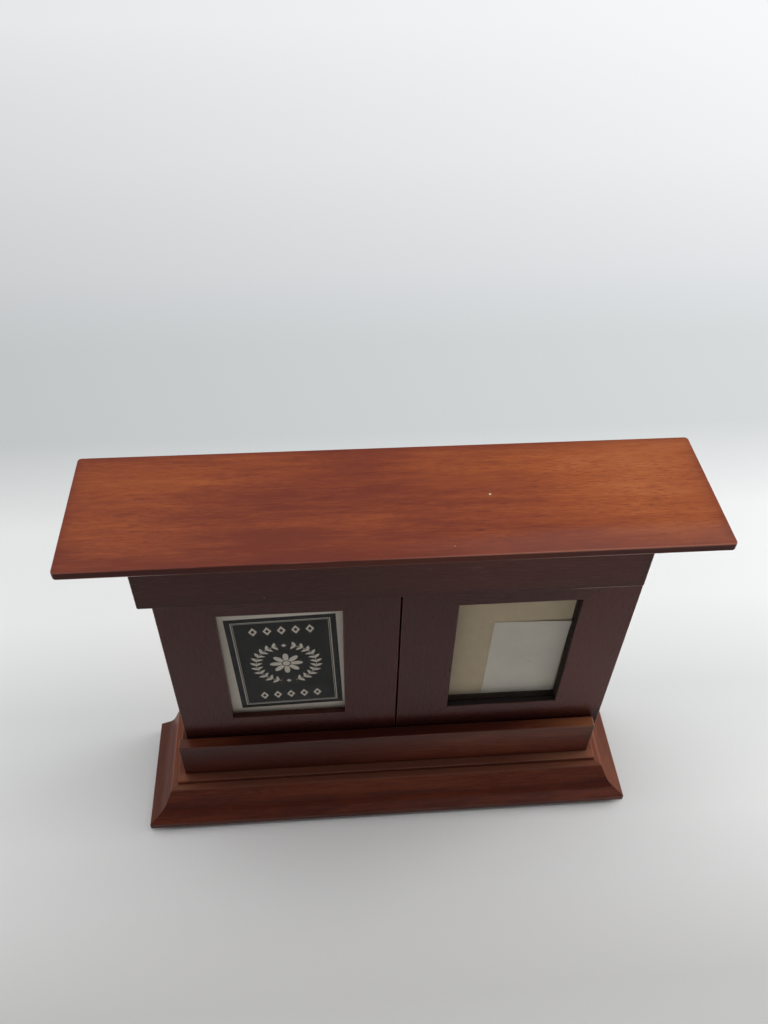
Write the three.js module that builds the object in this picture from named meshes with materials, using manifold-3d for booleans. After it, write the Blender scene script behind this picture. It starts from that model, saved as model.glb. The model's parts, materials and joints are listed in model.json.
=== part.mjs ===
// Sliding picture frame. Two glazed door frames stand side by side behind a header and a front rail,
// and run sideways on a grooved runner to uncover a third, fixed picture behind them.
// Millimetres, +Z up, front towards -Y. The origin is on the table, under the middle of the outer box.
import * as THREE from 'three';
import { mergeVertices } from 'three/addons/utils/BufferGeometryUtils.js';
import Module from 'manifold-3d';

// Top shelf
const TOP_WIDTH = 385.8;
const TOP_DEPTH = 94.1;
const TOP_THICKNESS = 5.6;
const TOP_CORNER = 2.5;
const TOP_REAR_OVERHANG = 9.6;

// Base: a plinth board wrapped on three sides by a mitred cove moulding
const BASE_WIDTH = 373.2;
const BASE_DEPTH = 89.6;
const PLINTH_HEIGHT = 29.2;
const MOULDING_WIDTH = 22.6;
const MOULDING_HEIGHT = 25.1;
const MOULDING_FASCIA = 5.6;
const MOULDING_LEDGE = 4.9;
const COVE_RAMP_DEG = 20;
const COVE_RISE_DEG = 66;
const COVE_BLEND = 5;

// Foot pads under the plinth
const PAD_DIAMETER = 14;
const PAD_HEIGHT = 4.4;
const PAD_EDGE_DISTANCE = 11;

// Header and front rail: the two front boards that lap the doors
const HEADER_LENGTH = 318.7;
const HEADER_HEIGHT = 57.6;
const HEADER_OFFSET = -0.7;
const RAIL_HEIGHT = 37.8;
const RAIL_END_SETBACK = 5.2;
const FRONT_BOARD_THICKNESS = 8.4;
const FRONT_BOARD_SETBACK = 6.1;
const FRONT_BOARD_CORNER = 1.3;

// Doors: mitred frames with a rear rabbet for a 3 1/2 x 5 inch print
const DOOR_PRINT_WIDTH = 88.9;
const PRINT_HEIGHT = 127;
const PRINT_COVER = 3.175;
const DOOR_FACE = 37.8;
const DOOR_THICKNESS = 15.8;
const DOOR_LAP = 14.7;
const DOOR_PAIR_OFFSET = 5;
const DOOR_MEETING_GAP = 1;
const DOOR_OPEN_EDGE = 96;
const DOOR_SIDE_CLEARANCE = 1;
const DOOR_TOP_CLEARANCE = 0.5;
const DOOR_RUNNING_GAP = 0.3;

// What lies in the rabbets
const LIP = 4.7;
const RABBET_PLAY = 0.8;
const GLASS_THICKNESS = 1.6;
const PRINT_THICKNESS = 0.4;
const BACKING_THICKNESS = 2;
const DOOR_BACKING_DEPTH = 11;
const SPACER_SETBACK = 0.3;
const SLIP_WIDTH = 54;
const SLIP_HEIGHT = 86.5;
const SLIP_TILT_DEG = 1;
const SLIP_THICKNESS = 0.3;
const SLIP_PLAY = 0.3;

// Framer's points: thin steel tabs driven into the rabbet wall behind each backing board
const POINT_WIDTH = 8;
const POINT_THICKNESS = 0.5;
const POINT_DRIVEN = 6;
const POINT_REACH = 7;
const POINT_SPACING = 70;

// Guide pins: a dowel under each door runs in a blind groove in the runner and stops the door
const PIN_DIAMETER = 5;
const PIN_IN_DOOR = 8;
const PIN_IN_GROOVE = 5;
const PIN_INSET = 20;
const PIN_PLAY = 0.4;
const CLOSED_PLAY = 3.5;
const GROOVE_FLOOR_GAP = 1;

// Carcass behind the doors: face frame for a 7 x 5 inch print, two sides and a screwed back
const INNER_PRINT_WIDTH = 177.8;
const FACE_THICKNESS = 11;
const SIDE_THICKNESS = 12;
const BACK_THICKNESS = 4;
const BACK_REBATE = 7;
const SCREW_HEAD_DIAMETER = 6;
const SCREW_HEAD_HEIGHT = 1.6;
const SCREW_SHANK_DIAMETER = 3;
const SCREW_LENGTH = 14;
const SCREW_TIP = 3;
const SCREW_END_DISTANCE = 32;
const SCREWS_PER_SIDE = 3;

// Fits and finish
const JOINT_GAP = 0.05;
const CUT_CLEARANCE = 0.1;
const BOARD_EASE = 0.8;
const PROFILE_EASE = 0.8;
const EASE_IN_CORNER = 0.8;
const EASE_STEPS = 3;
const CURVE_STEPS = 5;
const COVE_STEPS = 8;
const ROUND_SIDES = 16;

// Places that follow from the sizes: depth
const OVERALL_DEPTH = BASE_DEPTH + TOP_REAR_OVERHANG;
const baseFront = -OVERALL_DEPTH / 2;
const baseBack = baseFront + BASE_DEPTH;
const topBack = OVERALL_DEPTH / 2;
const plinthFront = baseFront + MOULDING_WIDTH;
const boardFront = plinthFront + FRONT_BOARD_SETBACK;
const boardBack = boardFront + FRONT_BOARD_THICKNESS;
const doorFront = boardBack + DOOR_SIDE_CLEARANCE;
const faceFront = doorFront + DOOR_THICKNESS + DOOR_SIDE_CLEARANCE;
const faceBack = faceFront + FACE_THICKNESS;

// Width and height
const coverBothSides = 2 * PRINT_COVER;
const windowHeight = PRINT_HEIGHT - coverBothSides;
const doorWindowWidth = DOOR_PRINT_WIDTH - coverBothSides;
const innerWindowWidth = INNER_PRINT_WIDTH - coverBothSides;
const rabbet = PRINT_COVER + RABBET_PLAY;
const doorWidth = doorWindowWidth + 2 * DOOR_FACE;
const doorHeight = windowHeight + 2 * DOOR_FACE;
const railTop = PLINTH_HEIGHT + RAIL_HEIGHT;
const doorBottom = railTop - DOOR_LAP;
const doorTop = doorBottom + doorHeight;
const headerBottom = doorTop - DOOR_LAP;
const shelfUnderside = headerBottom + HEADER_HEIGHT;
const windowBottom = doorBottom + DOOR_FACE;
const windowTop = windowBottom + windowHeight;
const leftDoorX = DOOR_PAIR_OFFSET - DOOR_MEETING_GAP / 2 - doorWidth;
const rightDoorX = DOOR_PAIR_OFFSET + DOOR_MEETING_GAP / 2;
const pinRadius = PIN_DIAMETER / 2;
const plinthX = BASE_WIDTH / 2 - MOULDING_WIDTH;
const railX = plinthX - RAIL_END_SETBACK;

const wasm = await Module();
wasm.setup();

const wood = (color, roughness) => new THREE.MeshStandardMaterial({ color, roughness, metalness: 0 });
const mahogany = wood(0x6b3a26, 0.35);
const darkMahogany = wood(0x472823, 0.4);
const rawWood = wood(0x9a7048, 0.7);
const greyBoard = wood(0x8c8064, 0.9);
const card = wood(0xcfc8b8, 0.85);
const blackWood = wood(0x1d1a19, 0.7);
const felt = wood(0x34302c, 0.95);
const blackCard = wood(0x26262a, 0.8);
const paper = wood(0xd8d4cc, 0.9);
const steel = new THREE.MeshStandardMaterial({ color: 0xb4b6b8, roughness: 0.35, metalness: 1 });
const brass = new THREE.MeshStandardMaterial({ color: 0xb0894a, roughness: 0.35, metalness: 1 });
const glass = new THREE.MeshStandardMaterial({
  color: 0xe6efec, roughness: 0.05, metalness: 0, transparent: true, opacity: 0.25,
});

const radians = THREE.MathUtils.degToRad;

// Boolean cuts on closed geometries
function toSolid(geometry) {
  const bare = geometry.clone();
  bare.deleteAttribute('normal');
  bare.deleteAttribute('uv');
  const merged = mergeVertices(bare, 1e-4);
  return new wasm.Manifold(new wasm.Mesh({
    numProp: 3,
    vertProperties: new Float32Array(merged.attributes.position.array),
    triVerts: new Uint32Array(merged.index.array),
  }));
}

function toGeometry(solid) {
  const mesh = solid.getMesh();
  const geometry = new THREE.BufferGeometry();
  geometry.setAttribute('position', new THREE.BufferAttribute(mesh.vertProperties, 3));
  geometry.setIndex(new THREE.BufferAttribute(mesh.triVerts, 1));
  geometry.computeVertexNormals();
  return geometry;
}

function cut(geometry, cutters) {
  const solid = cutters.reduce((rest, cutter) => rest.subtract(toSolid(cutter)), toSolid(geometry));
  return toGeometry(solid);
}

// A plain block between two corners
function block([x0, x1], [y0, y1], [z0, z1]) {
  const geometry = new THREE.BoxGeometry(x1 - x0, y1 - y0, z1 - z0);
  return geometry.translate((x0 + x1) / 2, (y0 + y1) / 2, (z0 + z1) / 2);
}

// A closed outline through corners [x, y, ease]: each corner is rounded off over its ease
function outline(corners) {
  const shape = new THREE.Shape();
  corners.forEach(([x, y, ease], i) => {
    const here = new THREE.Vector2(x, y);
    const [px, py] = corners.at(i - 1);
    const [nx, ny] = corners[(i + 1) % corners.length];
    const from = new THREE.Vector2(px, py).sub(here).setLength(ease).add(here);
    const to = new THREE.Vector2(nx, ny).sub(here).setLength(ease).add(here);
    if (i === 0) shape.moveTo(from.x, from.y);
    else shape.lineTo(from.x, from.y);
    if (ease > 0) shape.quadraticCurveTo(x, y, to.x, to.y);
  });
  return shape;
}

// A square-cornered outline between two corners
function rectangle([x0, x1], [y0, y1]) {
  return outline([[x0, y0, 0], [x1, y0, 0], [x1, y1, 0], [x0, y1, 0]]);
}

// A board lying flat from z = 0, with the edges of both faces eased. The ease stays well inside the board's
// thickness and inside the round corners that it follows.
function easedBoard(corners, thickness) {
  const roundCorners = corners.map(([, , corner]) => corner).filter((corner) => corner > 0);
  const ease = Math.min(BOARD_EASE, thickness / 3, ...roundCorners.map((corner) => corner * EASE_IN_CORNER));
  const geometry = new THREE.ExtrudeGeometry(outline(corners), {
    depth: thickness - 2 * ease,
    bevelThickness: ease,
    bevelSize: ease,
    bevelOffset: -ease,
    bevelSegments: EASE_STEPS,
    curveSegments: CURVE_STEPS,
  });
  return geometry.translate(0, 0, ease);
}

// The same board stood upright on z = 0 with its front face at y = 0
function uprightBoard(corners, thickness) {
  return easedBoard(corners, thickness).rotateX(Math.PI / 2).translate(0, thickness, 0);
}

// A length of profile. Profile points are (inset from the outer edge, depth). A mitred end is cut back by
// the inset, so that its face lies at 45 degrees. place(inset, depth, along) gives the point in space.
function profiledBar(profile, length, mitres, place) {
  const geometry = new THREE.ExtrudeGeometry(profile, {
    depth: 1, bevelEnabled: false, curveSegments: COVE_STEPS,
  });
  const points = geometry.attributes.position;
  for (let i = 0; i < points.count; i += 1) {
    const inset = points.getX(i);
    const atEnd = points.getZ(i) > 0.5;
    const back = JOINT_GAP / 2 + inset;
    const start = mitres.start ? back : 0;
    const end = mitres.end ? length - back : length;
    points.setXYZ(i, ...place(inset, points.getY(i), atEnd ? end : start));
  }
  return facingOut(geometry);
}

// A mirrored placing turns a geometry inside out: swap two corners of each triangle to mend it
function facingOut(geometry) {
  const points = geometry.attributes.position;
  const [a, b, c] = [new THREE.Vector3(), new THREE.Vector3(), new THREE.Vector3()];
  let volume = 0;
  for (let i = 0; i < points.count; i += 3) {
    a.fromBufferAttribute(points, i);
    b.fromBufferAttribute(points, i + 1);
    c.fromBufferAttribute(points, i + 2);
    volume += a.dot(b.cross(c));
  }
  if (volume > 0) return geometry;
  for (let i = 0; i < points.count; i += 3) {
    b.fromBufferAttribute(points, i + 1);
    c.fromBufferAttribute(points, i + 2);
    points.setXYZ(i + 1, c.x, c.y, c.z);
    points.setXYZ(i + 2, b.x, b.y, b.z);
  }
  geometry.computeVertexNormals();
  return geometry;
}

function addPiece(group, name, geometry, material) {
  const mesh = new THREE.Mesh(geometry, material);
  mesh.name = name;
  group.add(mesh);
  return mesh;
}

// Top shelf
function addTopShelf(group) {
  const [x, front, r] = [TOP_WIDTH / 2, topBack - TOP_DEPTH, TOP_CORNER];
  const corners = [[-x, front, r], [x, front, r], [x, topBack, r], [-x, topBack, r]];
  const top = addPiece(group, 'top_board', easedBoard(corners, TOP_THICKNESS), mahogany);
  top.position.z = shelfUnderside;
}

// Base: plinth board and cove moulding
function mouldingProfile() {
  const coveTop = MOULDING_WIDTH - MOULDING_LEDGE;
  const ramp = Math.tan(radians(COVE_RAMP_DEG));
  const rise = Math.tan(radians(COVE_RISE_DEG));
  const bendInset = (MOULDING_HEIGHT - MOULDING_FASCIA - rise * coveTop) / (ramp - rise);
  const bendHeight = MOULDING_FASCIA + ramp * bendInset;
  const inner = MOULDING_WIDTH - JOINT_GAP;
  return outline([
    [0, 0, 0],
    [0, MOULDING_FASCIA, PROFILE_EASE],
    [bendInset, bendHeight, COVE_BLEND],
    [coveTop, MOULDING_HEIGHT, PROFILE_EASE],
    [inner, MOULDING_HEIGHT, 0],
    [inner, 0, 0],
  ]);
}

function addBase(group) {
  const x = BASE_WIDTH / 2;
  const corners = [[-plinthX, plinthFront, 0], [plinthX, plinthFront, 0], [plinthX, baseBack, 0],
    [-plinthX, baseBack, 0]];
  addPiece(group, 'plinth_board', easedBoard(corners, PLINTH_HEIGHT), mahogany);
  const profile = mouldingProfile();
  const runs = {
    front: profiledBar(profile, BASE_WIDTH, { start: true, end: true },
      (inset, height, along) => [along - x, baseFront + inset, height]),
    left: profiledBar(profile, BASE_DEPTH, { start: true, end: false },
      (inset, height, along) => [inset - x, baseFront + along, height]),
    right: profiledBar(profile, BASE_DEPTH, { start: true, end: false },
      (inset, height, along) => [x - inset, baseFront + along, height]),
  };
  for (const [side, geometry] of Object.entries(runs)) {
    addPiece(group, `base_moulding_${side}`, geometry, mahogany);
  }
}

// Four felt pads under the plinth's corners. They lift everything else off the table by their height.
function addFootPads(group) {
  const x = plinthX - PAD_EDGE_DISTANCE;
  const [front, rear] = [plinthFront + PAD_EDGE_DISTANCE, baseBack - PAD_EDGE_DISTANCE];
  const height = PAD_HEIGHT - JOINT_GAP;
  const places = {
    front_left: [-x, front], front_right: [x, front],
    rear_left: [-x, rear], rear_right: [x, rear],
  };
  for (const [place, [padX, padY]] of Object.entries(places)) {
    const disc = new THREE.CylinderGeometry(PAD_DIAMETER / 2, PAD_DIAMETER / 2, height, ROUND_SIDES);
    const pad = addPiece(group, `foot_pad_${place}`, disc.rotateX(Math.PI / 2), felt);
    pad.position.set(padX, padY, height / 2 - PAD_HEIGHT);
  }
}

// Header and front rail, with the runner and the upper guide that close the door track behind them
function addFrontBoards(group) {
  const headerX = HEADER_LENGTH / 2;
  const headerTop = HEADER_HEIGHT - JOINT_GAP;
  const corner = FRONT_BOARD_CORNER;
  const headerCorners = [[-headerX, 0, corner], [headerX, 0, corner], [headerX, headerTop, 0],
    [-headerX, headerTop, 0]];
  const railCorners = [[-railX, JOINT_GAP, 0], [railX, JOINT_GAP, 0], [railX, RAIL_HEIGHT, corner],
    [-railX, RAIL_HEIGHT, corner]];
  const header = addPiece(group, 'header_board', uprightBoard(headerCorners, FRONT_BOARD_THICKNESS),
    darkMahogany);
  header.position.set(HEADER_OFFSET, boardFront, headerBottom);
  const rail = addPiece(group, 'front_rail', uprightBoard(railCorners, FRONT_BOARD_THICKNESS), mahogany);
  rail.position.set(0, boardFront, PLINTH_HEIGHT);

  const trackDepth = [boardBack + JOINT_GAP, faceFront - JOINT_GAP];
  addPiece(group, 'upper_guide', block([HEADER_OFFSET - headerX, HEADER_OFFSET + headerX], trackDepth,
    [doorTop + DOOR_TOP_CLEARANCE, shelfUnderside - JOINT_GAP]), mahogany);
  const runnerTop = doorBottom - DOOR_RUNNING_GAP;
  const runner = block([-railX, railX], trackDepth, [PLINTH_HEIGHT + JOINT_GAP, runnerTop]);
  addPiece(group, 'lower_runner', cut(runner, [pinGroove(runnerTop, -1), pinGroove(runnerTop, 1)]), mahogany);
}

// The blind groove of one guide pin, round at both ends
function pinGroove(runnerTop, side) {
  const halfWidth = pinRadius + PIN_PLAY;
  const stop = DOOR_OPEN_EDGE + PIN_INSET + halfWidth;
  const closedEnd = halfWidth + CLOSED_PLAY - PIN_INSET;
  const [x0, x1] = side < 0 ? [-stop, leftDoorX + doorWidth + closedEnd] : [rightDoorX - closedEnd, stop];
  const depth = PIN_IN_GROOVE + GROOVE_FLOOR_GAP;
  const slot = new THREE.Shape();
  slot.absarc(x0 + halfWidth, 0, halfWidth, Math.PI / 2, 1.5 * Math.PI);
  slot.absarc(x1 - halfWidth, 0, halfWidth, -Math.PI / 2, Math.PI / 2);
  const cutter = new THREE.ExtrudeGeometry(slot, {
    depth: 2 * depth, bevelEnabled: false, curveSegments: CURVE_STEPS,
  });
  return cutter.translate(0, doorFront + DOOR_THICKNESS / 2, runnerTop - depth);
}

// A framer's point, or with a clearance the slot it is driven into. side is -1 for a wall on the left.
function pointBlock(wallX, side, back, z, clearance) {
  const ends = [wallX + side * POINT_DRIVEN, wallX - side * POINT_REACH].sort((a, b) => a - b);
  const half = POINT_WIDTH / 2 + clearance;
  const start = back + JOINT_GAP;
  return block([ends[0] - clearance, ends[1] + clearance],
    [start - clearance, start + POINT_THICKNESS + clearance], [z - half, z + half]);
}

// The four points of one rabbet: two on each upright wall
function pointPlaces(leftWall, rightWall, midZ) {
  return [[leftWall, -1, 1], [rightWall, 1, 1], [leftWall, -1, -1], [rightWall, 1, -1]]
    .map(([x, side, level]) => ({ x, side, z: midZ + level * POINT_SPACING / 2 }));
}

// One door, in its own frame: x, y and z from its lower left front corner. pinX is the guide pin's place.
function doorProfile() {
  return outline([
    [0, 0, PROFILE_EASE],
    [DOOR_FACE, 0, PROFILE_EASE],
    [DOOR_FACE, LIP, 0],
    [DOOR_FACE - rabbet, LIP, 0],
    [DOOR_FACE - rabbet, DOOR_THICKNESS, 0],
    [0, DOOR_THICKNESS, 0],
  ]);
}

function makeDoor(prefix, x, outerSide) {
  const door = new THREE.Group();
  door.position.set(x, doorFront, doorBottom);
  const wall = DOOR_FACE - rabbet;
  const pinX = outerSide === 'left' ? doorWidth - PIN_INSET : PIN_INSET;
  const backingBack = DOOR_BACKING_DEPTH + BACKING_THICKNESS;
  const places = pointPlaces(wall, doorWidth - wall, doorHeight / 2);
  const slots = places.map((p) => pointBlock(p.x, p.side, backingBack, p.z, CUT_CLEARANCE));

  const profile = doorProfile();
  const both = { start: true, end: true };
  const members = {
    rail_top: profiledBar(profile, doorWidth, both, (a, d, t) => [t, d, doorHeight - a]),
    rail_bottom: cut(profiledBar(profile, doorWidth, both, (a, d, t) => [t, d, a]),
      [guidePin(pinX, CUT_CLEARANCE)]),
    stile_left: cut(profiledBar(profile, doorHeight, both, (a, d, t) => [a, d, t]),
      [slots[0], slots[2]]),
    stile_right: cut(profiledBar(profile, doorHeight, both, (a, d, t) => [doorWidth - a, d, t]),
      [slots[1], slots[3]]),
  };
  for (const [member, geometry] of Object.entries(members)) {
    addPiece(door, `${prefix}_${member}`, geometry, darkMahogany);
  }

  const sheet = (y0, y1) => block(
    [wall + RABBET_PLAY, doorWidth - wall - RABBET_PLAY], [y0, y1],
    [wall + JOINT_GAP, wall + JOINT_GAP + PRINT_HEIGHT]);
  addPiece(door, `${prefix}_glass`, sheet(LIP + JOINT_GAP, LIP + GLASS_THICKNESS), glass);
  addPiece(door, `${prefix}_backing`, sheet(DOOR_BACKING_DEPTH, backingBack), greyBoard);
  places.forEach((p, i) => {
    addPiece(door, `${prefix}_point_${i + 1}`, pointBlock(p.x, p.side, backingBack, p.z, 0), steel);
  });
  addPiece(door, `${prefix}_guide_pin`, guidePin(pinX, 0), rawWood);
  return { door, sheet };
}

// The dowel under a door, or with a clearance the hole it is glued into
function guidePin(pinX, clearance) {
  const length = PIN_IN_DOOR + PIN_IN_GROOVE + clearance;
  const dowel = new THREE.CylinderGeometry(pinRadius + clearance, pinRadius + clearance, length, ROUND_SIDES);
  return dowel.rotateX(Math.PI / 2).translate(pinX, DOOR_THICKNESS / 2, length / 2 - PIN_IN_GROOVE);
}

// The left door holds a printed card, pressed on the glass by a filler board
function makeLeftDoor() {
  const { door, sheet } = makeDoor('left_door', leftDoorX, 'left');
  const printFront = LIP + GLASS_THICKNESS + JOINT_GAP;
  const printBack = printFront + PRINT_THICKNESS;
  addPiece(door, 'left_door_print', sheet(printFront, printBack), blackCard);
  addPiece(door, 'left_door_filler', sheet(printBack + JOINT_GAP, DOOR_BACKING_DEPTH - JOINT_GAP), card);
  return door;
}

// The right door holds only a loose slip of paper, which has slid into the lower right corner. A spacer frame
// as wide as the print's covered margin keeps the backing board off the glass.
function makeRightDoor() {
  const { door } = makeDoor('right_door', rightDoorX, 'right');
  const sheetEdge = DOOR_FACE - PRINT_COVER;
  const sheetBottom = DOOR_FACE - rabbet + JOINT_GAP;
  const opening = DOOR_FACE - SPACER_SETBACK;
  const slipBack = DOOR_BACKING_DEPTH - JOINT_GAP;
  const spacerFront = LIP + GLASS_THICKNESS + JOINT_GAP;
  const frame = rectangle([sheetEdge, doorWidth - sheetEdge], [sheetBottom, sheetBottom + PRINT_HEIGHT]);
  frame.holes.push(rectangle([opening, doorWidth - opening], [opening, doorHeight - opening]));
  const spacer = new THREE.ExtrudeGeometry(frame, { depth: slipBack - spacerFront, bevelEnabled: false });
  addPiece(door, 'right_door_spacer', spacer.rotateX(Math.PI / 2).translate(0, slipBack, 0), blackWood);

  const tilt = radians(SLIP_TILT_DEG);
  const rightWall = doorWidth - opening - SLIP_PLAY;
  const floor = opening + JOINT_GAP;
  const slip = addPiece(door, 'right_door_slip', block([-SLIP_WIDTH, 0], [-SLIP_THICKNESS, 0],
    [0, SLIP_HEIGHT]), paper);
  slip.rotation.y = tilt;
  slip.position.set(rightWall - SLIP_HEIGHT * Math.sin(tilt), slipBack, floor);
  return door;
}

// Carcass behind the doors
function addFaceFrame(group) {
  const inner = innerWindowWidth / 2;
  const depth = [faceFront, faceBack];
  const bottom = PLINTH_HEIGHT + JOINT_GAP;
  const top = shelfUnderside - JOINT_GAP;
  const midZ = (windowBottom + windowTop) / 2;
  const wall = inner + rabbet;
  const stackFront = faceFront + LIP;
  const glassBack = stackFront + GLASS_THICKNESS;
  const printBack = glassBack + JOINT_GAP + PRINT_THICKNESS;
  const backingBack = printBack + JOINT_GAP + BACKING_THICKNESS;
  const places = pointPlaces(-wall, wall, midZ);
  const slots = places.map((p) => pointBlock(p.x, p.side, backingBack, p.z, CUT_CLEARANCE));
  const pocket = block([-wall, wall], [stackFront, faceBack + CUT_CLEARANCE],
    [windowBottom - rabbet, windowTop + rabbet]);

  const seam = inner + JOINT_GAP;
  addPiece(group, 'inner_stile_left',
    cut(block([-railX, -seam], depth, [bottom, top]), [pocket, slots[0], slots[2]]), darkMahogany);
  addPiece(group, 'inner_stile_right',
    cut(block([seam, railX], depth, [bottom, top]), [pocket, slots[1], slots[3]]), darkMahogany);
  addPiece(group, 'inner_rail_bottom',
    cut(block([-inner, inner], depth, [bottom, windowBottom]), [pocket]), darkMahogany);
  addPiece(group, 'inner_rail_top',
    cut(block([-inner, inner], depth, [windowTop, top]), [pocket]), darkMahogany);

  const sheetX = INNER_PRINT_WIDTH / 2;
  const sheetBottom = windowBottom - rabbet + JOINT_GAP;
  const sheet = (y0, y1) => block([-sheetX, sheetX], [y0, y1], [sheetBottom, sheetBottom + PRINT_HEIGHT]);
  addPiece(group, 'inner_glass', sheet(stackFront + JOINT_GAP, glassBack), glass);
  addPiece(group, 'inner_print', sheet(glassBack + JOINT_GAP, printBack), card);
  addPiece(group, 'inner_backing', sheet(printBack + JOINT_GAP, backingBack), greyBoard);
  places.forEach((p, i) => {
    addPiece(group, `inner_point_${i + 1}`, pointBlock(p.x, p.side, backingBack, p.z, 0), steel);
  });
}

// A countersunk screw pointing from the back panel towards the front, or with a clearance its hole
function screw(clearance) {
  const head = SCREW_HEAD_DIAMETER / 2 + clearance;
  const shank = SCREW_SHANK_DIAMETER / 2 + clearance;
  const length = SCREW_LENGTH + clearance;
  const profile = [
    [0, -clearance], [head, -clearance], [shank, SCREW_HEAD_HEIGHT], [shank, length - SCREW_TIP], [0, length],
  ].map(([r, h]) => new THREE.Vector2(r, h));
  return new THREE.LatheGeometry(profile, ROUND_SIDES).rotateX(Math.PI);
}

function addCarcass(group) {
  addFaceFrame(group);
  const inner = railX - SIDE_THICKNESS;
  const panelX = inner + BACK_REBATE;
  const sideFront = faceBack + JOINT_GAP;
  const panelFront = baseBack - BACK_THICKNESS;
  const bottom = PLINTH_HEIGHT + JOINT_GAP;
  const top = shelfUnderside - JOINT_GAP;

  const firstScrew = bottom + SCREW_END_DISTANCE;
  const screwStep = (top - SCREW_END_DISTANCE - firstScrew) / (SCREWS_PER_SIDE - 1);
  const screwPlaces = [-1, 1].flatMap((side) => Array.from({ length: SCREWS_PER_SIDE }, (_, i) => (
    [side * (inner + BACK_REBATE / 2), baseBack, firstScrew + i * screwStep])));
  const holes = screwPlaces.map((place) => screw(CUT_CLEARANCE).translate(...place));

  for (const [name, side] of [['left', -1], ['right', 1]]) {
    const plan = outline([[railX, sideFront, 0], [railX, baseBack, 0], [panelX + JOINT_GAP, baseBack, 0],
      [panelX + JOINT_GAP, panelFront - JOINT_GAP, 0], [inner, panelFront - JOINT_GAP, 0],
      [inner, sideFront, 0]].map(([x, y, ease]) => [side * x, y, ease]));
    const panel = new THREE.ExtrudeGeometry(plan, { depth: top - bottom, bevelEnabled: false });
    const sideHoles = side < 0 ? holes.slice(0, SCREWS_PER_SIDE) : holes.slice(SCREWS_PER_SIDE);
    addPiece(group, `side_panel_${name}`, cut(panel.translate(0, 0, bottom), sideHoles), mahogany);
  }
  addPiece(group, 'back_panel',
    cut(block([-panelX, panelX], [panelFront, baseBack], [bottom, top]), holes), rawWood);
  screwPlaces.forEach((place, i) => {
    addPiece(group, `back_screw_${i + 1}`, screw(0).translate(...place), brass);
  });
}

const slidingFrame = new THREE.Group();
const cabinet = new THREE.Group();
addTopShelf(cabinet);
addBase(cabinet);
addFootPads(cabinet);
addFrontBoards(cabinet);
addCarcass(cabinet);
slidingFrame.add(cabinet, makeLeftDoor(), makeRightDoor());
slidingFrame.children.forEach((part) => part.translateZ(PAD_HEIGHT));

export default slidingFrame;
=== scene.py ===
"""Looks of the sliding picture frame: fine meshes, procedural materials, a plain studio and the camera.

Everything is in metres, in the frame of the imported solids. Pieces take their places from the solids' boxes.
"""

import json
import math

import bmesh
import bpy
from mathutils import Matrix, Vector

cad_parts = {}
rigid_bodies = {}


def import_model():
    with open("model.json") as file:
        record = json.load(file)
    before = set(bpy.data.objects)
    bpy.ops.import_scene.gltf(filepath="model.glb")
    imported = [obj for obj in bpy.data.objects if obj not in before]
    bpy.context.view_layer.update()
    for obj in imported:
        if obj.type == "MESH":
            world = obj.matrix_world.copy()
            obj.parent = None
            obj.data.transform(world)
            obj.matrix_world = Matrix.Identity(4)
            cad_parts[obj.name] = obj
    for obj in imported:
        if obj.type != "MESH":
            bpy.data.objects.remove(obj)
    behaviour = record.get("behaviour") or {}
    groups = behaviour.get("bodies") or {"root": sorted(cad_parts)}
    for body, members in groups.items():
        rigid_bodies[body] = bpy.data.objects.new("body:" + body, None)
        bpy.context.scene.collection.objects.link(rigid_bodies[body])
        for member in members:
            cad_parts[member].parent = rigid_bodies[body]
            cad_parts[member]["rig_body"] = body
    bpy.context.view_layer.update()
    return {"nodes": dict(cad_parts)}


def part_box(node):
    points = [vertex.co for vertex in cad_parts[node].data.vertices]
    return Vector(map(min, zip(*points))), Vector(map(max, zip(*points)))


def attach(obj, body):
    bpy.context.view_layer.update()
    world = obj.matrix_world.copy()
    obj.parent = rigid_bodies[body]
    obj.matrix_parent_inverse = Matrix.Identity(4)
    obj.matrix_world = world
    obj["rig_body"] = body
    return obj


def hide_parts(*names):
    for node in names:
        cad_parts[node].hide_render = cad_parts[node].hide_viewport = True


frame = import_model()

MM = 0.001

# Sizes that the solids' boxes don't give, as in the part's source
TOP_CORNER = 2.5 * MM
FRONT_BOARD_CORNER = 1.3 * MM
BOARD_EASE = 0.8 * MM
PROFILE_EASE = 0.8 * MM
MOULDING_FASCIA = 5.6 * MM
MOULDING_LEDGE = 4.9 * MM
COVE_RAMP = math.radians(20)
COVE_RISE = math.radians(66)
COVE_BLEND = 5 * MM
DOOR_FACE = 37.8 * MM
LIP = 4.7 * MM
RABBET = 3.975 * MM
SPACER_SETBACK = 0.3 * MM
SLIP_WIDTH = 54 * MM
SLIP_HEIGHT = 86.5 * MM
SLIP_TILT = math.radians(1)
SLIP_THICKNESS = 0.3 * MM

# Small forms that only the fine meshes have. The slip is flat up to where the shares of its width and height,
# counted from its lower left corner, add to SLIP_FLAT.
SLIP_CURL = 1.5 * MM
SLIP_FLAT = 1.1
PAD_EASE = 0.6 * MM
PIN_CHAMFER = 0.6 * MM
SCREW_HEAD = 3 * MM
SCREW_SHANK = 1.5 * MM
SCREW_CONE = 1.6 * MM
SCREW_TIP = 3 * MM
RECESS_ARM = 1.9 * MM
RECESS_HALF = 0.42 * MM
RECESS_DEPTH = 0.9 * MM

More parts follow.
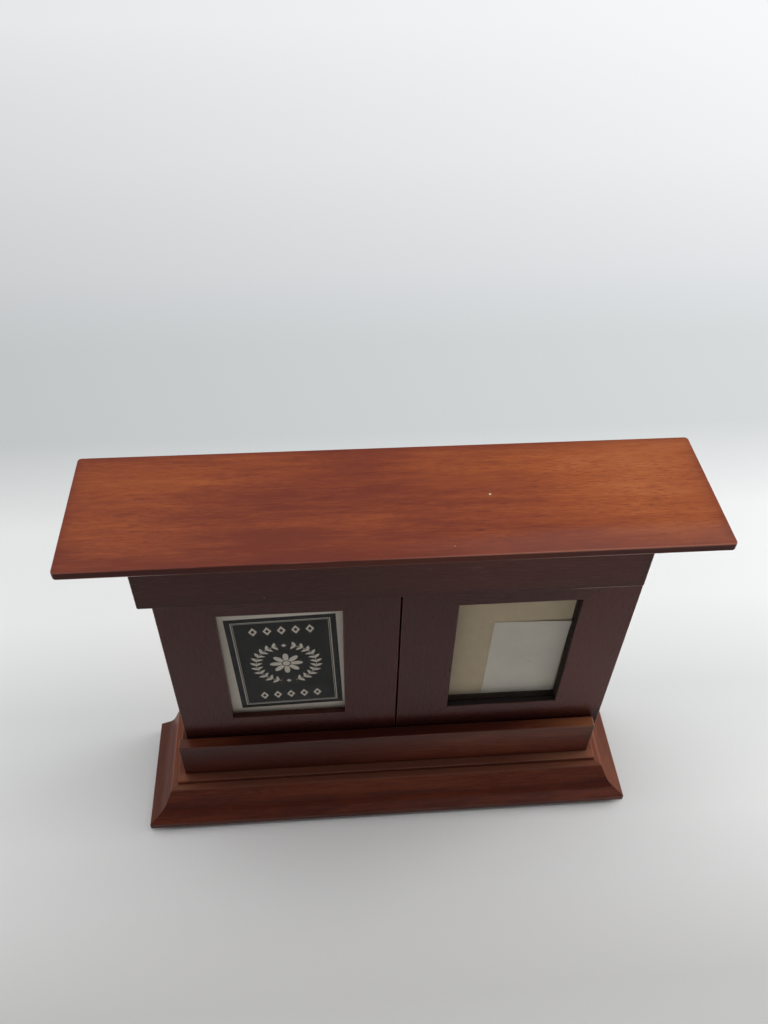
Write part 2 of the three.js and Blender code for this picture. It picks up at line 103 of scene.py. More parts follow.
# Easing and fineness of the meshes. A copied solid's edge is eased if it is over LONG_EDGE times as long as
# the ease.
SHEET_EASE = 0.15 * MM
PANE_EASE = 0.3 * MM
MOULDING_END_EASE = 0.15 * MM
DOOR_END_EASE = 0.07 * MM
MITRE_GAP = 0.025 * MM
BLOCK_EASE = 0.5 * MM
POINT_EASE = 0.12 * MM
LEAST_RADIUS = 0.05 * MM
WELD_DISTANCE = 0.002 * MM
FLAT_ANGLE = math.radians(1)
SHARP_ANGLE = math.radians(38)
LONG_EDGE = 6
BEVEL_STEPS = 3
EASE_STEPS = 6
CORNER_STEPS = 8
CURVE_STEPS = 12
ROUND_STEPS = 48
HEAD_ROWS = 12
SLIP_CELLS = (24, 36)

# Weights that the meshes hold for the woods. rim grows towards a board's edges, and is full on the shelf's
# narrow sides and on the walls of the windows. edge is 1 on worn arrises and -1 in recesses. RIM_MOST and
# EDGE_FADE_MOST are the shares of the shorter side that a rim or a fade may take.
RIM_WIDTH = 13 * MM
RIM_MOST = 0.3
RIM_STEP = 0.4
FACE_RIM = 0.4
FULL_RIM = 1.0
EDGE_FADE = 1.5 * MM
EDGE_FADE_MOST = 0.3

# Places in the photograph are counted from the middle of the base's lower front edge
base_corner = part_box("base_moulding_front")[0]
anchor = Vector((0, base_corner.y, base_corner.z))

# Camera of the photograph
CAMERA_OFFSET = Vector((-42.042, -322.375, 667.516)) * MM
CAMERA_PITCH = math.radians(45.34)
CAMERA_YAW = math.radians(5.37)
CAMERA_ROLL = math.radians(-1.52)
FOCAL_PIXELS = 889.86
IMAGE_HEIGHT = 1024
SENSOR = 36.0
CLIP_START = 0.01


def srgb(code):
    """A colour written as RRGGBB, as linear red, green, blue and alpha."""
    parts = [int(code[i:i + 2], 16) / 255 for i in (0, 2, 4)]
    return [p / 12.92 if p <= 0.04045 else ((p + 0.055) / 1.055) ** 2.4 for p in parts] + [1.0]


class Tree:
    """The node tree of a material or of the world, with short ways to add and link nodes."""

    def __init__(self, owner):
        self.owner = owner
        owner.use_nodes = True
        self.nodes = owner.node_tree.nodes
        self.links = owner.node_tree.links
        self.nodes.clear()
        self.coordinates = self.node("ShaderNodeTexCoord").outputs
        self.place = self.coordinates["Object"]

    def node(self, kind, inputs=(), **settings):
        made = self.nodes.new(kind)
        for setting, value in settings.items():
            setattr(made, setting, value)
        for socket, value in dict(inputs).items():
            self.feed(made.inputs[socket], value)
        return made

    def feed(self, socket, value):
        if isinstance(value, bpy.types.NodeSocket):
            self.links.new(value, socket)
        else:
            socket.default_value = value

    def math(self, operation, *values, clamp=False):
        made = self.node("ShaderNodeMath", enumerate(values), operation=operation, use_clamp=clamp)
        return made.outputs[0]

    def times(self, a, b):
        return self.math("MULTIPLY", a, b)

    def minus(self, a, b):
        return self.math("SUBTRACT", a, b)

    def absolute(self, value):
        return self.math("ABSOLUTE", value)

    def total(self, *values):
        result = values[0]
        for value in values[1:]:
            result = self.math("ADD", result, value)
        return result

    def vector(self, operation, *values):
        return self.node("ShaderNodeVectorMath", enumerate(values), operation=operation).outputs

    def mix(self, share, a, b):
        return self.node("ShaderNodeMix", {0: share, 6: a, 7: b}, data_type="RGBA").outputs[2]

    def span(self, value, low, high, to_low=0.0, to_high=1.0):
        made = self.node("ShaderNodeMapRange", {
            "Value": value, "From Min": low, "From Max": high, "To Min": to_low, "To Max": to_high,
        })
        return made.outputs[0]

    def ramp(self, value, *stops):
        made = self.node("ShaderNodeValToRGB", {"Fac": value})
        elements = made.color_ramp.elements
        for element, (position, colour) in zip(elements, (stops[0], stops[-1])):
            element.position = position
            element.color = colour
        for position, colour in stops[1:-1]:
            elements.new(position).color = colour
        return made.outputs["Color"]

    def mapped(self, scale, seed=0.0):
        made = self.node("ShaderNodeMapping", {"Vector": self.place, "Location": [seed] * 3, "Scale": scale})
        return made.outputs[0]

    def stretched(self, grain, along, across, seed=0.0):
        """Places counted in features per metre along and across the grain."""
        scale = [across] * 3
        scale["xyz".index(grain)] = along
        return self.mapped(scale, seed)

    def noise(self, place, detail=2.0, roughness=0.5, distortion=0.0):
        made = self.node("ShaderNodeTexNoise", {
            "Vector": place, "Scale": 1.0, "Detail": detail, "Roughness": roughness, "Distortion": distortion,
        })
        return made.outputs["Fac"]

    def weight(self, name):
        """A weight that the mesh holds for each of its points."""
        return self.node("ShaderNodeAttribute", attribute_name=name).outputs["Fac"]

    def direct_rays(self):
        """1 for the rays that show a surface: from the camera, off a gloss or through a pane."""
        path = self.node("ShaderNodeLightPath").outputs
        mirrored = self.math("MAXIMUM", path["Is Glossy Ray"], path["Is Transmission Ray"])
        return self.math("MAXIMUM", path["Is Camera Ray"], mirrored)

    def either(self, share, first, second):
        return self.node("ShaderNodeMixShader", {0: share, 1: first.outputs[0], 2: second.outputs[0]})

    def surface(self, colour, roughness, height, depth, more):
        """A solid surface with relief. more holds further inputs of the shader by name."""
        bump = self.node("ShaderNodeBump", {"Height": height, "Strength": 1.0, "Distance": depth})
        inputs = {"Base Color": colour, "Roughness": roughness, "Normal": bump.outputs[0], **more}
        return self.output(self.node("ShaderNodeBsdfPrincipled", inputs))

    def output(self, shader):
        self.node("ShaderNodeOutputMaterial", {"Surface": shader.outputs[0]})
        return self.owner


def new_tree(name):
    return Tree(bpy.data.materials.new(name))


# Woods

# The side tone is a lighter copy of the base tone, used for the side mouldings: painted light where light
# falls on the ends. The front and header tones are darker than the shelf's, partly as a darker stain and
# partly as painted shade.
TONES = {
    "shelf": {"deep": "6F3121", "middle": "874125", "light": "9A5029", "pale": "B0653A",
              "blush": "652820", "rim": "4E201A", "worn": "8E5444"},
    "base": {"deep": "3D1810", "middle": "502216", "light": "652D1A", "pale": "814328",
             "blush": "40160F", "rim": "22100D", "worn": "6A3A26"},
    "side": {"deep": "522412", "middle": "68341F", "light": "7E4124", "pale": "955432",
             "blush": "522216", "rim": "2C1410", "worn": "8A5442"},
    "rail": {"deep": "3C1913", "middle": "4E2219", "light": "5F2C1D", "pale": "884B2D",
             "blush": "3E1710", "rim": "281214", "worn": "7A4C3C"},
    "front": {"deep": "3D1815", "middle": "481D19", "light": "52221C", "pale": "632E25",
              "blush": "331211", "rim": "4C2824", "worn": "6E4A40"},
    "raw": {"deep": "7C5636", "middle": "9A7048", "light": "AE8558", "pale": "C09A6C",
            "blush": "8A6240", "rim": "8A6240", "worn": "B08A60"},
}
TONES["header"] = {**TONES["front"], "deep": "3C1815", "light": "52231D", "pale": "663329"}
TONES["black_lip"] = {**TONES["front"], "rim": "2A2220"}

# Specular level, roughness of the faces and of the rim, contrast of the figure, range of the pores' share,
# and relief of the grain
FINISH = {
    "shelf": (0.17, 0.42, 0.42, 1.0, (0.3, 0.6), 0.005 * MM),
    "base": (0.12, 0.34, 0.34, 1.0, (0.05, 0.6), 0.003 * MM),
    "side": (0.12, 0.36, 0.36, 1.0, (0.05, 0.6), 0.004 * MM),
    "rail": (0.25, 0.30, 0.30, 1.0, (0.05, 0.3), 0.001 * MM),
    "front": (0.26, 0.29, 0.29, 0.6, (0.0, 0.06), 0.0005 * MM),
    "header": (0.23, 0.26, 0.26, 0.6, (0.0, 0.06), 0.0005 * MM),
    "black_lip": (0.26, 0.29, 0.90, 0.6, (0.0, 0.06), 0.0005 * MM),
    "raw": (0.25, 0.60, 0.60, 1.0, (0.05, 0.6), 0.008 * MM),
}
ROUGHNESS_SPREAD = 0.03
FIBRE_RELIEF = 0.5

# Layers of the grain: features per metre along and across it, shift of the seed, and the noise's detail,
# roughness and distortion
GRAIN_LAYERS = {
    "cloud": (6, 16, 11, 2, 0.5, 0.0),
    "figure": (9, 75, 0, 3, 0.55, 0.4),
    "ribbon": (28, 330, 3, 3, 0.6, 0.2),
    "fibre": (75, 1300, 5, 3, 0.65, 0.0),
    "pores": (190, 2400, 7, 1, 0.5, 0.0),
    "patch": (22, 45, 13, 2, 0.5, 0.0),
}
SHADE_SHARES = {"cloud": 0.26, "figure": 0.24, "ribbon": 0.22, "fibre": 0.28}
SHADE_STOPS = {"deep": 0.39, "middle": 0.50, "light": 0.60, "pale": 0.76}

# Ranges of a noise that are stretched to a share, and the shares that they give
MID_NOISE = (0.3, 0.7)
PORE_NOISE = (0.54, 0.66)
PORE_PATCHES = (0.40, 0.65)
BLUSH_SHARE = 0.6
BLUSH_PATCH_SHARES = (0.7, 1.0)
WEAR_SCALE = (22, 22, 22)
WEAR_PATCHES = (0.38, 0.62)
WEAR_SHARES = (0.1, 0.8)
RECESS_SHARE = 0.7

# A spot is full within this share of its reach
SPOT_CORE = 0.5


def spot(tree, place, reach):
    """A soft-edged mark about a place, reaching so far along X, Y and Z."""
    offset = tree.vector("SUBTRACT", tree.place, anchor + Vector(place) * MM)["Vector"]
    scaled = tree.vector("DIVIDE", offset, [r * MM for r in reach])["Vector"]
    return tree.span(tree.vector("LENGTH", scaled)["Value"], 1.0, SPOT_CORE)


def wood(name, tone, grain, seed, tints_and_painted_light=(), marks_and_painted_light=()):
    """Stained, lacquered wood: soft clouds and figure, with fibres and short dark pores along the grain."""
    tree = new_tree(name)
    tones = {part: srgb(code) for part, code in TONES[tone].items()}
    shine, roughness, rim_roughness, contrast, pore_shares, relief_depth = FINISH[tone]
    layers = {}
    for layer, (along, across, shift, *quality) in GRAIN_LAYERS.items():
        layers[layer] = tree.noise(tree.stretched(grain, along, across, seed + shift), *quality)

    shade = tree.total(*[tree.times(layers[layer], share) for layer, share in SHADE_SHARES.items()])
    shade = tree.span(shade, 0.0, 1.0, 0.5 - contrast / 2, 0.5 + contrast / 2)
    # Tints shift the shade, and many of them are painted light and shade.
    for place, reach, shift in tints_and_painted_light:
        shade = tree.math("ADD", shade, tree.times(spot(tree, place, reach), shift))
    colour = tree.ramp(shade, *[(at, tones[part]) for part, at in SHADE_STOPS.items()])
    pores = tree.times(tree.span(layers["pores"], *PORE_NOISE),
                       tree.span(layers["patch"], *PORE_PATCHES, *pore_shares))

    rim_weight = tree.weight("rim")
    edge_weight = tree.weight("edge")
    blush = tree.times(tree.span(rim_weight, 0.0, FACE_RIM, 0.0, BLUSH_SHARE),
                       tree.span(layers["patch"], *MID_NOISE, *BLUSH_PATCH_SHARES))
    rim = tree.span(rim_weight, FACE_RIM, FULL_RIM)
    recess = tree.times(tree.math("MINIMUM", edge_weight, 0.0), -RECESS_SHARE)
    wear = tree.span(tree.noise(tree.mapped(WEAR_SCALE, seed)), *WEAR_PATCHES, *WEAR_SHARES)
    worn = tree.times(tree.math("MAXIMUM", edge_weight, 0.0), wear)
    for share, part in ((pores, "blush"), (blush, "blush"), (rim, "rim"), (recess, "rim"), (worn, "worn")):
        colour = tree.mix(share, colour, tones[part])
    # Marks are laid over the colour, and many of them are painted light and shade.
    for place, reach, code, share in marks_and_painted_light:
        colour = tree.mix(tree.times(spot(tree, place, reach), share), colour, srgb(code))

    rough = tree.span(layers["fibre"], *MID_NOISE, roughness - ROUGHNESS_SPREAD, roughness + ROUGHNESS_SPREAD)
    rough = tree.span(rim, 0.0, 1.0, rough, rim_roughness)
    relief = tree.minus(tree.times(layers["fibre"], FIBRE_RELIEF), pores)
    return tree.surface(colour, rough, relief, relief_depth, {"Specular IOR Level": shine})


# Tints of the woods, and painted light and shade on them, in millimetres from the base's lower front edge:
# place, reach and how much lighter
SHELF_TINTS_AND_PAINTED_LIGHT = (
    ((0.0, 2.0, 297.0), (900.0, 34.0, 4.0), -0.10),
    # Painted light: the shelf's top is lighter towards its right end, where light falls.
    ((200.0, 60.0, 297.0), (120.0, 100.0, 4.0), 0.15),
    ((-45.0, 50.0, 297.0), (95.0, 60.0, 4.0), -0.04),
    ((-190.0, 30.0, 297.0), (140.0, 90.0, 4.0), 0.05),
    ((55.0, 22.0, 297.0), (80.0, 30.0, 4.0), -0.04),
    ((120.0, 8.0, 297.0), (150.0, 28.0, 4.0), 0.04),
    ((-80.0, 40.0, 297.0), (70.0, 26.0, 4.0), -0.06),
    ((60.0, 85.0, 297.0), (70.0, 36.0, 4.0), 0.05),
)
# Painted light and shade, all of them: the rail's top is lighter at both ends and darker in the middle, and
# its front is lighter to the right and darker to the left.
RAIL_PAINTED_LIGHT_TINTS = (
    ((170.0, 33.0, 67.0), (85.0, 8.0, 3.0), 0.36),
    ((-165.0, 33.0, 67.0), (75.0, 8.0, 3.0), 0.20),
    ((130.0, 28.7, 48.0), (190.0, 4.0, 40.0), 0.13),
    ((-130.0, 28.7, 48.0), (120.0, 4.0, 40.0), -0.05),
    ((-30.0, 33.0, 67.0), (100.0, 8.0, 3.0), -0.10),
)
# Painted light, all of them: the cove and the fascia are lighter all along, and the ledge and the plinth's
# step are lighter near both ends.
BASE_PAINTED_LIGHT_TINTS = (
    ((0.0, 15.5, 19.0), (900.0, 8.0, 10.0), 0.10),
    ((0.0, 5.0, 7.5), (900.0, 7.0, 5.0), 0.02),
    ((-170.0, 22.0, 28.0), (60.0, 8.0, 6.0), 0.22),
    ((170.0, 22.0, 28.0), (60.0, 8.0, 6.0), 0.22),
)
# Painted light: the header is lighter towards its right end.
HEADER_PAINTED_LIGHT_TINTS = (((150.0, 28.7, 262.0), (200.0, 4.0, 80.0), 0.20),)
# Painted light: the right door is lighter towards its right edge.
DOOR_PAINTED_LIGHT_TINTS = (((160.0, 38.0, 160.0), (60.0, 8.0, 150.0), 0.19),)

# Marks of use and of the stain, and painted light and shade, counted the same way: place, reach, colour and
# share. The shelf has a painted haze of reflection, a darker front, three specks and painted highlights on
# its arrises. The header has two dots and a painted highlight on one arris, and the doors have painted shade
# on their foot.
SHELF_MARKS_AND_PAINTED_LIGHT = (
    # Painted reflection: a greyish haze on the front of the shelf's top.
    ((140.0, 12.0, 297.0), (150.0, 14.0, 4.0), "7F5C59", 0.2),
    ((10.0, 5.1, 294.3), (130.0, 2.0, 3.0), "632D20", 1.0),
    ((56.8, 53.6, 297.0), (0.9, 0.7, 2.0), "D8CFC8", 1.0),
    ((46.3, 24.5, 297.0), (3.2, 0.7, 2.0), "5A2A1C", 1.0),
    ((30.3, 12.9, 297.0), (0.7, 0.5, 2.0), "A87A62", 1.0),
    # Painted highlights along the shelf's upper and lower front arrises.
    ((135.0, 5.3, 296.8), (170.0, 0.8, 0.8), "9C6250", 1.0),
    ((0.0, 5.3, 291.6), (300.0, 1.2, 1.0), "85503F", 1.0),
    ((125.0, 5.3, 291.6), (75.0, 1.2, 1.0), "C89C92", 1.0),
    ((-165.0, 5.3, 291.6), (50.0, 1.2, 1.0), "D8B4AE", 1.0),
)
HEADER_MARKS_AND_PAINTED_HIGHLIGHT = (
    ((-81.5, 28.7, 239.5), (0.8, 2.0, 0.8), "75564A", 1.0),
    ((-78.1, 28.7, 239.7), (0.8, 2.0, 0.8), "2A1614", 1.0),
    # Painted highlight along the header's lower arris, to the right.
    ((136.0, 28.7, 234.2), (32.0, 1.0, 0.6), "D0ACA2", 1.0),
)
# Painted shade: the doors are darkened at their foot, next to the rail.
DOOR_PAINTED_SHADE_MARKS = (((0.0, 38.0, 62.0), (900.0, 14.0, 20.0), "140808", 0.6),)
# Painted light: the rail's top is paler at its right end.
RAIL_PAINTED_LIGHT_MARKS = (((172.0, 33.0, 67.0), (60.0, 8.0, 3.0), "B5764F", 0.28),)

# Painted light on the base: the plinth's step and the moulding's ledge have a pale, greyish painted highlight
# all round, with more of it near the ends, and the left moulding has a greyer painted sheen
BASE_PAINTED_LIGHT_MARKS = (
    ((0.0, 25.6, 29.2), (900.0, 5.0, 3.0), "6E4A3B", 0.5),
    ((0.0, 20.2, 25.1), (900.0, 4.4, 2.0), "6E4A3B", 0.5),
    ((165.0, 25.6, 29.2), (75.0, 5.0, 3.0), "A9785D", 0.2),
    ((-162.0, 50.0, 29.2), (8.0, 75.0, 4.0), "8E533A", 0.6),
    ((163.0, 52.0, 29.2), (7.0, 60.0, 4.0), "985C47", 0.55),
)
# Painted light: a greyer painted sheen on the left moulding, and lighter ledges on both side mouldings.
SIDE_PAINTED_LIGHT_MARKS = (
    ((-176.0, 45.0, 12.0), (24.0, 120.0, 30.0), "5A3F3B", 0.5),
    ((-167.0, 62.0, 25.1), (5.0, 60.0, 2.5), "8A5038", 0.9),
    ((167.0, 50.0, 25.1), (5.0, 75.0, 2.5), "965B48", 0.6),
)

# Glass. A low index keeps the floor's reflection in the panes as weak as the photograph shows it.
PANE_IOR = 1.15
PANE_TINT = "FAFAF8"
PANE_ROUGHNESS = (0.015, 0.05)
SMEAR_SCALE = (45, 45, 45)
SMEAR_DETAIL = 3
SMEAR_NOISE = (0.45, 0.75)


def glass(name):
    """Window glass that lets the lamps' light through to what is behind it."""
    tree = new_tree(name)
    smear = tree.noise(tree.mapped(SMEAR_SCALE), SMEAR_DETAIL)
    pane = tree.node("ShaderNodeBsdfPrincipled", {
        "Base Color": srgb(PANE_TINT), "Roughness": tree.span(smear, *SMEAR_NOISE, *PANE_ROUGHNESS),
        "Transmission Weight": 1.0, "IOR": PANE_IOR,
    })
    clear = tree.node("ShaderNodeBsdfTransparent", {"Color": srgb(PANE_TINT)})
    path = tree.node("ShaderNodeLightPath").outputs
    passing = tree.math("MAXIMUM", path["Is Shadow Ray"], path["Is Diffuse Ray"])
    return tree.output(tree.either(passing, pane, clear))


# Layers of a pressed board: features per metre along X, Y and Z, seed, the noise's detail and roughness, the
# range of the noise that shows, and the most of the fleck's colour that it gives
BOARD_LAYERS = {
    "mottle": ((60, 60, 60), 0.0, 4, 0.6, (0.3, 0.8), 0.35),
    "fibre": ((900, 900, 500), 0.0, 3, 0.6, (0.35, 0.75), 0.18),
    "fleck": ((230, 230, 230), 4.0, 1, 0.5, (0.70, 0.78), 0.5),
}
BOARD_RELIEF = 0.004 * MM


def board_stock(name, code, fleck_code, roughness=0.9, shine=0.2):
    """Pressed paper board or sheet: soft mottling, short fibres and a few darker flecks."""
    tree = new_tree(name)
    colour = srgb(code)
    noises = {}
    for layer, (scale, seed, detail, noise_roughness, shown, share) in BOARD_LAYERS.items():
        noises[layer] = tree.noise(tree.mapped(scale, seed), detail, noise_roughness)
        colour = tree.mix(tree.span(noises[layer], *shown, 0.0, share), colour, srgb(fleck_code))
    return tree.surface(colour, roughness, noises["fibre"], BOARD_RELIEF, {"Specular IOR Level": shine})


BRUSH_SCALE = (300, 300, 2500)
BRUSH_ROUGHNESS = (-0.06, 0.12)
BRUSH_RELIEF = 0.01 * MM
TARNISH_SCALE = (160, 160, 160)
TARNISH_DETAIL = 3
TARNISH_NOISE = (0.4, 0.8)
TARNISH_SHARE = 0.5
TARNISH_TONE = "5A5248"


def metal(name, code, roughness):
    """Brushed metal with some tarnish."""
    tree = new_tree(name)
    brushed = tree.noise(tree.mapped(BRUSH_SCALE))
    tarnish = tree.noise(tree.mapped(TARNISH_SCALE), TARNISH_DETAIL)
    tarnish = tree.span(tarnish, *TARNISH_NOISE, 0.0, TARNISH_SHARE)
    colour = tree.mix(tarnish, srgb(code), srgb(TARNISH_TONE))
    rough = tree.span(brushed, *MID_NOISE, *[roughness + change for change in BRUSH_ROUGHNESS])
    return tree.surface(colour, rough, brushed, BRUSH_RELIEF, {"Metallic": 1.0})


# Floor: painted light and shade on it near the object, and the painted glow that the sweep behind shows, by
# distance in metres
FLOOR_PAINTED_LIGHT = (
    (-0.5, "CACAC8"), (-0.18, "D2D2D0"), (-0.11, "E5E5E5"), (-0.06, "EDEDED"), (0.06, "E3E5E5"),
    (0.16, "F2F4F4"), (0.5, "F2F4F4"),
)
FLOOR_GRAIN = (400, 400, 400)
FLOOR_GRAIN_DETAIL = 3
FLOOR_GRAIN_TONE = "D8D8D8"
FLOOR_GRAIN_SHARE = 0.03
SWEEP_PAINTED_GLOW = ((0.42, "CCCFD0"), (0.6, "CCD0D1"), (0.78, "D7D9DB"), (1.15, "E3E4E6"), (1.9, "EEEFF0"))
SWEEP_START = 0.28
SWEEP_PAINTED_SIDE_LIGHT = (0.25, 0.09)
SWEEP_SIDE_REACH = 1.0

# Round about, out of the photograph, the floor fades to the tone of the surround
ROUND_FADE = (0.6, 1.0)
ROUND_TONE = "E9EAEB"


def studio_paper(name):
    """The pale floor, with painted light and shade near the object. Past the object it turns up into a sweep
    that glows with painted light of its own, brighter further back and to the right.
    """
    tree = new_tree(name)
    across, depth, _ = tree.node("ShaderNodeSeparateXYZ", {0: tree.place}).outputs

    def toned(stops):
        first = stops[0][0]
        last = stops[-1][0]
        colours = [((at - first) / (last - first), srgb(code)) for at, code in stops]
        return tree.ramp(tree.span(depth, first, last), *colours)

    grain = tree.noise(tree.mapped(FLOOR_GRAIN), FLOOR_GRAIN_DETAIL)
    grain = tree.span(grain, *MID_NOISE, 0.0, FLOOR_GRAIN_SHARE)
    paper = tree.mix(grain, toned(FLOOR_PAINTED_LIGHT), srgb(FLOOR_GRAIN_TONE))
    near = tree.node("ShaderNodeBsdfDiffuse", {"Color": paper})
    gain = tree.span(depth, SWEEP_PAINTED_GLOW[0][0], SWEEP_PAINTED_GLOW[-1][0], *SWEEP_PAINTED_SIDE_LIGHT)
    aside = tree.span(across, -SWEEP_SIDE_REACH, SWEEP_SIDE_REACH, -SWEEP_SIDE_REACH, SWEEP_SIDE_REACH)
    side = tree.math("ADD", tree.times(aside, gain), 1.0)
    sweep = tree.node("ShaderNodeEmission", {"Color": toned(SWEEP_PAINTED_GLOW), "Strength": side})
    turned_up = tree.span(depth, SWEEP_START, SWEEP_PAINTED_GLOW[0][0])
    both = tree.either(tree.times(tree.direct_rays(), turned_up), near, sweep)
    away = tree.vector("LENGTH", tree.place)["Value"]
    faded = tree.times(tree.span(away, *ROUND_FADE), tree.minus(1.0, turned_up))
    surround = tree.node("ShaderNodeEmission", {"Color": srgb(ROUND_TONE)})
    from_camera = tree.node("ShaderNodeLightPath").outputs["Is Camera Ray"]
    return tree.output(tree.either(tree.times(from_camera, faded), both, surround))


# The left card, in millimetres from its middle: a black field in a cream border. Inside a double rule it has
# a laurel ring about a rosette, and a row of lozenges above and below.
CARD_CENTRE = Vector((-73.46, 0, 147.94)) * MM
CARD_TURN = math.radians(1.85)
FIELD_HALF = (37.2, 52.55)
RULE_INSET = 4.2
RULE_WIDTH = 0.55
WREATH_RADIUS = 21.0
WREATH_LEAVES = 26
WREATH_OPENING = 0.24
CROWN_HALF = 1.9
LEAF_HALF = (1.5, 4.6)
LEAF_LEAN = 0.75
STEM_WIDTH = 0.45
ROSETTE_RADIUS = 11.5
ROSETTE_PETALS = 8
PETAL_POWER = 0.6
EYE_RADIUS = 2.99
EYE_WIDTH = 0.77
LOZENGE_LEVEL = 38.0
LOZENGE_HALF = (3.0, 4.6)
LOZENGE_RIM = 1.65
LOZENGE_PITCH = 9.6
LOZENGE_COUNT = 5
EDGE_SOFT = 0.12
CARD_MOTTLE = (220, 220, 220)
CARD_MOTTLE_QUALITY = (4, 0.6)
CARD_FIBRE = (1500, 1500, 1500)
CARD_RELIEF = 0.01 * MM
CARD_ROUGHNESS = 0.75
CARD_SHINE = 0.25

# Two tones of the card's paper and of its black, and the most that the mottling gives of the second
CARD_PAPER = ("EDE4DA", "DACEC1", 0.25)
CARD_BLACK = ("060606", "0B0B0C", 0.5)


def card_print(name):
    tree = new_tree(name)
    moved = tree.vector("SUBTRACT", tree.place, anchor + CARD_CENTRE)["Vector"]
    turned = tree.node("ShaderNodeMapping", {
        "Vector": moved, "Rotation": (0, CARD_TURN, 0), "Scale": [1 / MM] * 3,
    })
    u, _, v = tree.node("ShaderNodeSeparateXYZ", {0: turned.outputs[0]}).outputs
    across = tree.absolute(u)
    up = tree.absolute(v)

    def inside(distance):
        """1 where a distance in millimetres is below zero, with a soft edge."""
        return tree.span(distance, EDGE_SOFT, -EDGE_SOFT)

    def band(distance, width):
        return inside(tree.minus(tree.absolute(distance), width / 2))

    def rectangle(inset):
        return tree.math("MAXIMUM", tree.minus(across, FIELD_HALF[0] - inset),
                         tree.minus(up, FIELD_HALF[1] - inset))

    def squared_share(distance, half):
        return tree.math("POWER", tree.math("DIVIDE", tree.absolute(distance), half), 2)

    radius = tree.math("SQRT", tree.total(tree.times(u, u), tree.times(v, v)))
    angle = tree.math("ARCTAN2", u, v)
    field = inside(rectangle(0.0))
    rule = band(rectangle(RULE_INSET), RULE_WIDTH)
    inner_rule = band(rectangle(RULE_INSET + 2 * RULE_WIDTH), RULE_WIDTH / 2)

    # Leaves lean off the ring's stem to both sides, and point up from its foot on either half
    turn = tree.absolute(angle)
    pitch = 2 * math.pi / WREATH_LEAVES
    along = tree.minus(tree.math("FRACT", tree.math("DIVIDE", turn, pitch)), 0.5)
    along = tree.times(along, pitch * WREATH_RADIUS)
    off_stem = tree.minus(radius, WREATH_RADIUS)
    lean = tree.math("ADD", along, tree.times(tree.absolute(off_stem), LEAF_LEAN))
    half_leaf = LEAF_HALF[1] / 2
    reach = tree.minus(tree.absolute(off_stem), half_leaf)
    leaf = tree.total(squared_share(lean, LEAF_HALF[0]), squared_share(reach, half_leaf))
    open_ends = tree.math("MINIMUM", turn, tree.minus(math.pi, turn))
    grown = inside(tree.times(tree.minus(WREATH_OPENING, open_ends), WREATH_RADIUS))
    leaves = tree.times(inside(tree.minus(leaf, 1.0)), grown)
    stem = tree.times(band(off_stem, STEM_WIDTH), grown)
    crown_up = tree.absolute(tree.minus(up, WREATH_RADIUS))
    crown = inside(tree.minus(tree.math("ADD", across, crown_up), CROWN_HALF))

    petal = tree.absolute(tree.math("COSINE", tree.times(angle, ROSETTE_PETALS / 2)))
    petal_reach = tree.times(tree.math("POWER", petal, PETAL_POWER), ROSETTE_RADIUS)
    petals = inside(tree.minus(radius, petal_reach))
    eye = band(tree.minus(radius, EYE_RADIUS), EYE_WIDTH)

    count = tree.math("ADD", tree.math("DIVIDE", u, LOZENGE_PITCH), 0.5)
    step = tree.minus(tree.math("FRACT", count), 0.5)
    step = tree.absolute(tree.times(step, LOZENGE_PITCH))
    level = tree.absolute(tree.minus(up, LOZENGE_LEVEL))
    slope = LOZENGE_HALF[0] / LOZENGE_HALF[1]
    lozenge = tree.minus(tree.total(step, tree.times(level, slope)), LOZENGE_HALF[0])
    row_end = inside(tree.minus(across, LOZENGE_COUNT / 2 * LOZENGE_PITCH))
    lozenges = tree.times(inside(lozenge), row_end)
    hollow = tree.times(inside(tree.math("ADD", lozenge, LOZENGE_RIM)), row_end)

    ink = tree.total(rule, inner_rule, leaves, stem, crown, petals, lozenges)
    ink = tree.math("SUBTRACT", ink, tree.math("ADD", eye, hollow), clamp=True)

    mottle = tree.noise(tree.mapped(CARD_MOTTLE), *CARD_MOTTLE_QUALITY)

    def mottled(tone, other, share):
        return tree.mix(tree.span(mottle, *MID_NOISE, 0.0, share), srgb(tone), srgb(other))

    paper = mottled(*CARD_PAPER)
    colour = tree.mix(field, paper, tree.mix(ink, mottled(*CARD_BLACK), paper))
    fibre = tree.noise(tree.mapped(CARD_FIBRE))
    return tree.surface(colour, CARD_ROUGHNESS, fibre, CARD_RELIEF, {"Specular IOR Level": CARD_SHINE})


